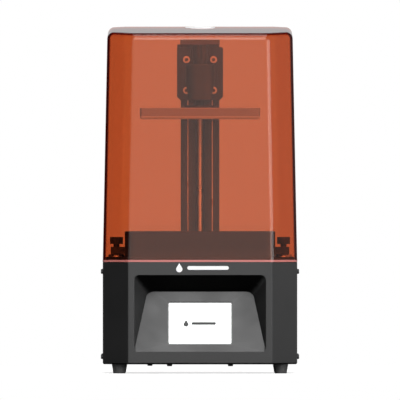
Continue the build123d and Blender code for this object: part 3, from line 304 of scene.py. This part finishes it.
def lit_screen():
    """White backlit page with a fine pixel grid; its own glow stays off the case around it."""
    material, tree, out = new_material("screen_page")
    across = node(tree, "SeparateXYZ", {0: millimetres(tree)}).outputs["X"]
    grid = math_node(tree, "SINE", times(tree, across, PIXEL_RATE))
    level = plus(tree, times(tree, grid, PIXEL_DEPTH), PAGE_GLOW)
    glow = node(tree, "Emission", {"Color": WHITE, "Strength": level})
    page = node(tree, "BsdfPrincipled", {"Base Color": grey(0.30), "Roughness": 0.3})
    return finished(material, tree, out, seen_or_else(tree, glow, page))


PLATFORM_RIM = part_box("build_platform")[0].z / MM + 2.9     # millimetres above the bench


def platform_finish():
    """Anodised aluminium sides over a brighter sandblasted lower rim and face."""
    material, tree, out = new_material("platform_sandblasted")
    point = millimetres(tree)
    sand = noise(tree, point, 2.5, 4.0, 0.6)
    slow = noise(tree, point, 0.04, 3.0)
    anodised = mix_colour(tree, slow, (0.42, 0.42, 0.425, 1), (0.47, 0.47, 0.475, 1))
    blasted = mix_colour(tree, sand, grey(0.97), WHITE)
    upper = ramp(tree, up_part(tree, point), PLATFORM_RIM - 0.15, PLATFORM_RIM + 0.15)
    return finished(material, tree, out, node(tree, "BsdfPrincipled", {
        "Base Color": mix_colour(tree, upper, blasted, anodised),
        "Roughness": plus(tree, times(tree, slow, 0.1), 0.45),
        "Metallic": 0.3, "Normal": bump_node(tree, sand, 0.3, 0.03),
    }))


def circuit_board():
    """Green solder mask over faint copper tracks with bare pads."""
    material, tree, out = new_material("board_mask")
    point = millimetres(tree)
    tracks = node(tree, "TexBrick", {
        "Vector": point, "Scale": 0.35, "Mortar Size": 0.06,
        "Color1": grey(0.0), "Color2": grey(0.1), "Mortar": WHITE,
    })
    pads = node(tree, "TexVoronoi", {"Vector": point, "Scale": 0.45}, feature="F1").outputs["Distance"]
    pad = one_minus(tree, ramp(tree, pads, 0.12, 0.16))
    mask = mix_colour(tree, tracks.outputs["Color"], (0.012, 0.09, 0.035, 1), (0.03, 0.17, 0.07, 1))
    return finished(material, tree, out, node(tree, "BsdfPrincipled", {
        "Base Color": mix_colour(tree, pad, mask, (0.62, 0.55, 0.35, 1)),
        "Roughness": 0.35, "Metallic": times(tree, pad, 0.9),
        "Normal": bump_node(tree, tracks.outputs["Fac"], 0.2, 0.05),
    }))


BRIGHT_STEEL = (0.95, 0.94, 0.92)
MATERIALS = {
    # painted shade in the recesses and on the undersides of the case
    "case_dark": surface(
        "case_moulding", (0.010, 0.010, 0.0103), 0.42, grain=2.2, bump=0.10, mottle=0.05, wear=0.25,
        gloss=0.64, hollow_shade=0.9, reach=30.0, dark_at=(0.45, 0.80), shaded_underside_share=0.08),
    "sheet_dark": surface(
        "sheet_powder_coat", (0.022, 0.022, 0.023), 0.5, grain=3.0, bump=0.2, wear=0.3),
    "rubber_dark": surface(
        "foot_rubber", (0.070, 0.070, 0.070), 0.50, grain=1.2, bump=0.25, gloss=0.7),
    # painted shade in the hex sockets
    "screw_steel": surface(
        "screw_zinc", BRIGHT_STEEL, 0.38, metal=1.0, grain=2.5, bump=0.05, hollow_shade=0.95, dark_at=(0.30, 0.60)),
    "screw_black": surface(
        "screw_black_oxide", (0.03, 0.03, 0.032), 0.38, metal=0.6, grain=2.5, wear=0.5),
    "badge_white": surface(
        "badge_print", (0.98, 0.98, 0.98), 0.35, grain=4.0, bump=0.03, mottle=0.01),
    "clear_glass": clear("plate_glass", (0.97, 0.985, 0.98), 0.01, 0.995, veil=0.004),
    "screen_lit": lit_screen(),
    "board_green": circuit_board(),
    "chip_black": surface("chip_epoxy", (0.02, 0.02, 0.021), 0.45, grain=2.0, bump=0.1),
    "deck_black": surface(
        "deck_anodised", (0.030, 0.030, 0.031), 0.36, metal=0.4, grain=3.5, wear=0.4),
    "lcd_dark": surface(
        "lcd_polariser", (0.012, 0.012, 0.016), 0.12, grain=0.5, bump=0.01, coat=0.6),
    "lens_clear": clear("lens_acrylic", (0.96, 0.97, 0.97), 0.05, 0.97),
    "led_white": surface("led_body", (0.82, 0.80, 0.62), 0.4, grain=1.0),
    "bare_aluminium": surface(
        "aluminium_extruded", (0.74, 0.74, 0.75), 0.33, metal=1.0, grain=2.2, bump=0.12,
        stretch=(1, 0.05, 1)),
    "platform_aluminium": platform_finish(),
    "fan_black": surface("fan_moulding", (0.018, 0.018, 0.019), 0.40, grain=1.0, bump=0.05),
    "column_black": surface(
        "column_anodised", (0.022, 0.022, 0.023), 0.34, metal=0.5, grain=2.6, bump=0.10, wear=0.5,
        stretch=(1, 1, 0.06)),
    "rail_steel": surface(
        "rail_ground", BRIGHT_STEEL, 0.30, metal=1.0, grain=3.0, bump=0.08, stretch=(1, 1, 0.04)),
    # painted shade in the groove between the rails
    "rail_black": surface(
        "rail_black_oxide", (0.030, 0.029, 0.028), 0.36, metal=0.3, grain=3.0, bump=0.08, wear=0.4,
        stretch=(1, 1, 0.05), hollow_shade=0.95, reach=16.0),
    "nut_brass": turned_metal("nut_brass_turned", (0.72, 0.52, 0.24), 0.3, 8.0),
    "vat_black": surface(
        "vat_anodised", (0.020, 0.020, 0.021), 0.36, metal=0.3, grain=3.0, bump=0.08, wear=0.5),
    "film_clear": clear("film_fep", (0.97, 0.98, 0.99), 0.05, 0.96),
    "knob_black": surface("knob_moulding", (0.020, 0.020, 0.021), 0.38, grain=1.6, bump=0.12, wear=0.4),
    "cap_grey": surface("cap_moulding", (0.24, 0.24, 0.24), 0.45, grain=1.6, bump=0.10),
    "cover_orange": cover_plastic(),
}
SLOT_OF = {row["node"]: row["material_slot"] for row in frame["record"]["subparts"]}
for cad_name, cad_object in frame["nodes"].items():
    for held in cad_object.material_slots:
        held.material = MATERIALS[SLOT_OF[cad_name]]


# ---- mesh helpers --------------------------------------------------------------------------------
def in_scene(name, data):
    """A new object in the scene, holding this mesh, camera or light."""
    made = bpy.data.objects.new(name, data)
    bpy.context.scene.collection.objects.link(made)
    return made


def piece(name, vertices, faces, slot_name, body):
    """A mesh piece that takes a slot's material and rides on a body."""
    mesh = bpy.data.meshes.new(name)
    mesh.from_pydata(vertices, [], faces)
    mesh.validate()
    held = bmesh.new()
    held.from_mesh(mesh)
    bmesh.ops.recalc_face_normals(held, faces=held.faces)
    held.to_mesh(mesh)
    held.free()
    mesh.materials.append(MATERIALS[slot_name])
    made = in_scene(name, mesh)
    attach(made, body)
    return made


def middle(node_name):
    """The middle of a CAD node's box."""
    low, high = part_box(node_name)
    return (low + high) / 2


def end_caps(count, layers):
    """The first and last faces of a stack of outlines, count points each."""
    return [tuple(reversed(range(count))), tuple(range((layers - 1) * count, layers * count))]


# ---- lead screw: a real two-start thread -----------------------------------------------------------
THREAD_STARTS = 2
THREAD_PITCH = 2 * MM
THREAD_DEPTH = 0.7 * MM
AROUND = 24             # points around the rod
RINGS_PER_PITCH = 6


def thread_tooth(phase):
    """0 at the root and 1 at the crest, with flat crests and roots and straight flanks between."""
    return min(1.0, max(0.0, 2.5 - 5.0 * abs(phase - 0.5)))


def threaded_rod(centre, radius, bottom, top):
    """Vertices and faces of a rod whose surface rises and falls along a helix, with flat closed ends."""
    rings = int((top - bottom) / THREAD_PITCH * RINGS_PER_PITCH)
    vertices = []
    for ring in range(rings + 1):
        z = bottom + (top - bottom) * ring / rings
        for step in range(AROUND):
            angle = 2 * math.pi * (step + 0.5) / AROUND
            phase = ((z - bottom) / THREAD_PITCH - THREAD_STARTS * angle / (2 * math.pi)) % 1.0
            edge = radius - THREAD_DEPTH * (1 - thread_tooth(phase))
            vertices.append((centre.x + edge * math.cos(angle), centre.y + edge * math.sin(angle), z))
    faces = []
    for ring in range(rings):
        for step in range(AROUND):
            a = ring * AROUND + step
            b = ring * AROUND + (step + 1) % AROUND
            faces.append((a, b, b + AROUND, a + AROUND))
    return vertices, faces + end_caps(AROUND, rings + 1)


screw_low, screw_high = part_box("lead_screw")
screw_radius = (screw_high.x - screw_low.x) / 2
thread = threaded_rod(middle("lead_screw"), screw_radius, screw_low.z, screw_high.z)
rod = piece("lead_screw_thread", *thread, "rail_steel", "screw")
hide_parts("lead_screw")

# ---- steel races in the grooves of the rails -------------------------------------------------------
RAIL_W = 7.0 * MM
GROOVE_DEPTH = 0.7 * MM
RACE_R = 0.65 * MM
RACE_INSET = 1 * MM     # from each end of the rail


def race(x, y, low, high, steps=10):
    """Vertices and faces of a half-round strip standing on a groove's floor."""
    vertices = []
    for z in (low, high):
        for step in range(steps + 1):
            angle = math.pi * step / steps
            vertices.append((x + RACE_R * math.cos(angle), y - RACE_R * math.sin(angle), z))
    count = steps + 1
    faces = [(a, a + 1, a + 1 + count, a + count) for a in range(steps)]
    faces.append((steps, 0, count, count + steps))
    return vertices, faces + end_caps(count, 2)


rail_low, rail_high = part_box("linear_rails")
for side_name, side in (("left", -1), ("right", 1)):
    race_x = side * (rail_high.x - RAIL_W / 2)
    strip = race(race_x, rail_low.y + GROOVE_DEPTH, rail_low.z + RACE_INSET, rail_high.z - RACE_INSET)
    piece("rail_race_" + side_name, *strip, "rail_steel", "chassis")


# ---- thin flat shapes: screen border, marks --------------------------------------------------------
def plate(outline, depth, place, hole=None):
    """Vertices and faces of a thin plate; place maps (across, up, out) to the object.

    A hole, an outline of as many points, makes it a ring.
    """
    count = len(outline)
    vertices = [place(across, up, out) for out in (0.0, depth) for across, up in outline + (hole or [])]
    layer = len(vertices) // 2
    faces = []
    for i in range(count):
        j = (i + 1) % count
        faces.append((i, j, j + layer, i + layer))
        if hole:
            faces.append((j + count, i + count, i + count + layer, j + count + layer))
            faces.append((j, i, i + count, j + count))
            faces.append((i + layer, j + layer, j + count + layer, i + count + layer))
    if not hole:
        faces += end_caps(count, 2)
    return vertices, faces


def joined(shapes):
    """Several (vertices, faces) as one."""
    vertices, faces = [], []
    for some_vertices, some_faces in shapes:
        start = len(vertices)
        vertices += some_vertices
        faces += [tuple(start + index for index in face) for face in some_faces]
    return vertices, faces


def rounded(width, height, radius, centre=(0, 0), steps=6):
    """Points around a rectangle with round corners."""
    points = []
    for corner, (sx, sy) in enumerate(((1, 1), (-1, 1), (-1, -1), (1, -1))):
        for step in range(steps + 1):
            angle = math.pi / 2 * (corner + step / steps)
            points.append((
                centre[0] + sx * (width / 2 - radius) + radius * math.cos(angle),
                centre[1] + sy * (height / 2 - radius) + radius * math.sin(angle),
            ))
    return points


def drop(size, centre, steps=24):
    """Points around a plain drop: a circle drawn out to a tip above."""
    points = []
    for step in range(steps):
        angle = math.pi / 2 + 2 * math.pi * (step + 0.5) / steps
        upper = max(0.0, math.sin(angle))
        narrow = 1 - 0.45 * upper ** 2
        tip = 0.75 * upper ** 6
        points.append((
            centre[0] + size * narrow * math.cos(angle),
            centre[1] + size * (math.sin(angle) + tip),
        ))
    return points


def circle(radius, steps=24):
    """Points around a circle."""
    turns = [2 * math.pi * step / steps for step in range(steps)]
    return [(math.cos(turn) * radius, math.sin(turn) * radius) for turn in turns]


GLASS_T = 1.2 * MM
GLASS_MARGIN = 0.1 * MM     # between the glass's edge and the border
BORDER_W = 1.4 * MM
BORDER_OUTER_R = 2.6 * MM
BORDER_INNER_R = 1.6 * MM
PRINT_T = 0.06 * MM         # the mark is printed, and the border is a band of painted shade; both are this thick
DROP_R = 3.0 * MM
DROP_AT = (-16.5 * MM, -0.9 * MM)
BAR_W = 29 * MM
BAR_H = 3.2 * MM
BAR_AT = (4.5 * MM, 0)

glass_low, glass_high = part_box("touch_glass")
glass_mid = middle("touch_glass")
glass_faces = [face for face in frame["nodes"]["touch_glass"].data.polygons if face.normal.y < -0.8]
panel_out = max(glass_faces, key=lambda face: face.area).normal.normalized()
panel_up = Vector((0, panel_out.z, -panel_out.y))
glass_height = (glass_high.z - glass_low.z - GLASS_T * panel_out.z) / panel_up.z
glass_width = glass_high.x - glass_low.x


def on_glass(across, up, out):
    """A point on the touch glass; out is how far it stands in front."""
    base = glass_mid + panel_out * GLASS_T / 2
    return tuple(base + RIGHT * across + panel_up * up + panel_out * out)


def inside_glass(margin, radius):
    """The glass's outline, drawn in by margin."""
    return rounded(glass_width - 2 * margin, glass_height - 2 * margin, radius)


# the border is painted shade: a dark band where the screen window's edge shades the recessed display
border_outside = inside_glass(GLASS_MARGIN, BORDER_OUTER_R)
border_inside = inside_glass(BORDER_W, BORDER_INNER_R)
border = plate(border_outside, PRINT_T, on_glass, border_inside)
piece("screen_edge_shade", *border, "lcd_dark", "chassis")
mark = joined([
    plate(drop(DROP_R, DROP_AT), PRINT_T, on_glass),
    plate(rounded(BAR_W, BAR_H, BAR_H / 2, BAR_AT), PRINT_T, on_glass),
])
piece("screen_mark", *mark, "chip_black", "chassis")

# ---- rocker: a bar and a ring, the usual signs for on and off --------------------------------------
ROCKER_TIP = math.radians(8)
ROCKER_FACE = math.atan2(1.6, 10.8)     # each half of the rocker slopes back to its middle
ROCKER_STANDS = 2.4 * MM                # its faces' middles, out from its pivot
ROCKER_HALF = 5.4 * MM                  # and up or down from it
SIGN_T = 0.05 * MM
RING_OUTER_R = 2.1 * MM
RING_INNER_R = 1.5 * MM
ON_BAR = (0.9 * MM, 4.4 * MM, 0.4 * MM)     # its width, length and corners
rocker_joint = next(joint for joint in frame["joints"] if joint["name"] == "rocker_tip")
rocker_pivot = Vector(rocker_joint["pos_m"])


def on_rocker(side):
    """Maps (across, along, out) to the rocker's upper (1) or lower (-1) half."""
    out_way = Vector((0, math.cos(ROCKER_TIP), math.sin(ROCKER_TIP)))
    up_way = Vector((0, -math.sin(ROCKER_TIP), math.cos(ROCKER_TIP)))
    along_way = up_way * math.cos(ROCKER_FACE) + out_way * side * math.sin(ROCKER_FACE)
    face_way = out_way * math.cos(ROCKER_FACE) - up_way * side * math.sin(ROCKER_FACE)
    base = rocker_pivot + out_way * ROCKER_STANDS + up_way * side * ROCKER_HALF

    def place(across, along, out):
        return tuple(base - RIGHT * across + along_way * along + face_way * out)
    return place


signs = joined([
    plate(circle(RING_OUTER_R), SIGN_T, on_rocker(-1), circle(RING_INNER_R)),
    plate(rounded(*ON_BAR), SIGN_T, on_rocker(1)),
])
piece("rocker_signs", *signs, "badge_white", "rocker")

# ---- USB contacts: four bent strips under the tongue -----------------------------------------------
CONTACT_W = 1.0 * MM
CONTACT_DEEP = 6 * MM       # from the socket's mouth to the contacts' front ends
TONGUE_LOW = 0.2 * MM       # the tongue's underside, above the socket's middle
CONTACTS_AT = (-3.5 * MM, -1.0 * MM, 1.0 * MM, 3.5 * MM)
CONTACT_SIDE = [(0, 0), (0, 0.12), (1.2, 0.4), (2.4, 0.12), (8, 0.12), (8, 0)]   # millimetres inwards, down
usb_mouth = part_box("usb_socket")[1].x
usb_mid = middle("usb_socket")


def usb_contact(offset):
    """One strip, offset sideways from the socket's middle."""
    def under_tongue(inwards, down, across):
        y = usb_mid.y + offset + across - CONTACT_W / 2
        return (usb_mouth - CONTACT_DEEP - inwards, y, usb_mid.z + TONGUE_LOW - down)
    return plate([(inwards * MM, down * MM) for inwards, down in CONTACT_SIDE], CONTACT_W, under_tongue)


contacts = joined([usb_contact(offset) for offset in CONTACTS_AT])
piece("usb_contacts", *contacts, "nut_brass", "chassis")

# ---- camera: level with the object's middle, from straight in front ---------------------------------
IMAGE_WIDTH = 0.4724    # metres across the picture at the front of the object
EYE_HEIGHT = 0.2051
DISTANCE = 20.0
SENSOR = 36.0
camera_data = bpy.data.cameras.new("camera")
camera_data.sensor_width = SENSOR
camera_data.lens = SENSOR * DISTANCE / IMAGE_WIDTH
camera_data.clip_end = 2 * DISTANCE
camera = in_scene("camera", camera_data)
camera.location = (0.0, cad_box[0][1] - DISTANCE, EYE_HEIGHT)
camera.rotation_euler = (math.radians(90), 0, 0)
bpy.context.scene.camera = camera

# ---- light and floor -------------------------------------------------------------------------------
STUDIO_LIGHTS = (    # direction, where it begins and is full (as a cosine), half height, brightness
    ((0.0, -1.0, 0.0), 0.50, 0.95, 1.0, 1.53),          # the whole front
    ((0.0, -0.89, 0.45), 0.93, 0.98, 1.0, 4.1),         # a small bright one above the front
    ((0.0, 0.0, 1.0), 0.80, 0.95, 1.0, 1.3),            # overhead
    ((1.0, 0.0, 0.0), 0.45, 0.95, 1.0, 0.50),           # the right side
    ((0.82, -0.57, 0.05), 0.84, 0.96, 0.04, 4.4),       # a low strip for the right front edge
    ((0.0, 1.0, 0.0), 0.80, 0.98, 1.0, 0.66),           # behind
)
STRIP_FADE = 0.10       # how far a light of limited height fades out above and below it
AMBIENT = 0.03


def studio_world():
    """White to look at, with soft light from all round: bright in front and above, none from the left."""
    world = bpy.data.worlds.new("studio")
    bpy.context.scene.world = world
    world.use_nodes = True
    tree = world.node_tree
    tree.nodes.clear()
    out = tree.nodes.new("ShaderNodeOutputWorld")
    towards = node(tree, "TexCoord").outputs["Generated"]
    upward = up_part(tree, towards)
    level = AMBIENT
    for direction, begin, full, half_height, brightness in STUDIO_LIGHTS:
        along = node(tree, "VectorMath", {0: towards, 1: direction}, operation="DOT_PRODUCT")
        part = times(tree, ramp(tree, along.outputs["Value"], begin, full), brightness)
        if half_height < 1:
            off = math_node(tree, "ABSOLUTE", math_node(tree, "SUBTRACT", upward, direction[2]))
            part = times(tree, part, one_minus(tree, ramp(tree, off, half_height, half_height + STRIP_FADE)))
        level = plus(tree, part, level)
    studio = node(tree, "Background", {"Color": WHITE, "Strength": level})
    backdrop = node(tree, "Background", {"Color": WHITE, "Strength": 1.0})
    tree.links.new(seen_or_else(tree, backdrop, studio).outputs[0], out.inputs["Surface"])


def softbox(name, place, target, width, height, brightness):
    """An area light of even brightness, aimed at target."""
    data = bpy.data.lights.new(name, "AREA")
    data.shape = "RECTANGLE"
    data.size, data.size_y = width, height
    data.energy = brightness * width * height * math.pi
    made = in_scene(name, data)
    made.location = place
    made.rotation_euler = (Vector(target) - Vector(place)).to_track_quat("-Z", "Y").to_euler()


FLOOR_REACH = 3.0           # metres each way
FLOOR_GAP = 0.2 * MM        # under the feet
PAPER_NEAR = 0.3            # metres from the middle, where the paper begins to lighten
PAPER_FAR = 0.9             # and where it is white


def studio_floor():
    """Pale paper; what it throws back on the object is kept low, as under a raised sweep."""
    material, tree, out = new_material("floor_paper")
    speckle = noise(tree, millimetres(tree), 0.5)
    paper = node(tree, "BsdfDiffuse", {"Color": mix_colour(tree, speckle, grey(0.58), grey(0.62))})
    glow = node(tree, "Emission", {"Color": WHITE, "Strength": 0.70})
    near = node(tree, "AddShader", {0: paper.outputs[0], 1: glow.outputs[0]})
    sweep = node(tree, "Emission", {"Color": WHITE, "Strength": 1.0})
    away = node(tree, "VectorMath", {0: node(tree, "TexCoord").outputs["Object"]}, operation="LENGTH")
    bright = mix_shader(tree, ramp(tree, away.outputs["Value"], PAPER_NEAR, PAPER_FAR), near, sweep)
    dim = node(tree, "BsdfDiffuse", {"Color": grey(0.15)})
    finished(material, tree, out, seen_or_else(tree, bright, dim))
    mesh = bpy.data.meshes.new("floor")
    corners = [(x * FLOOR_REACH, y * FLOOR_REACH, 0) for x, y in ((-1, -1), (1, -1), (1, 1), (-1, 1))]
    mesh.from_pydata(corners, [], [(0, 1, 2, 3)])
    mesh.materials.append(material)
    floor = in_scene("floor", mesh)
    floor.location.z = -FLOOR_GAP


studio_world()
softbox("top", (0.2, -0.5, 2.6), (0, 0, 0.2), 2.0, 1.6, 2.6)
studio_floor()
bpy.context.scene.view_settings.view_transform = "Standard"
bpy.context.scene.view_settings.look = "None"
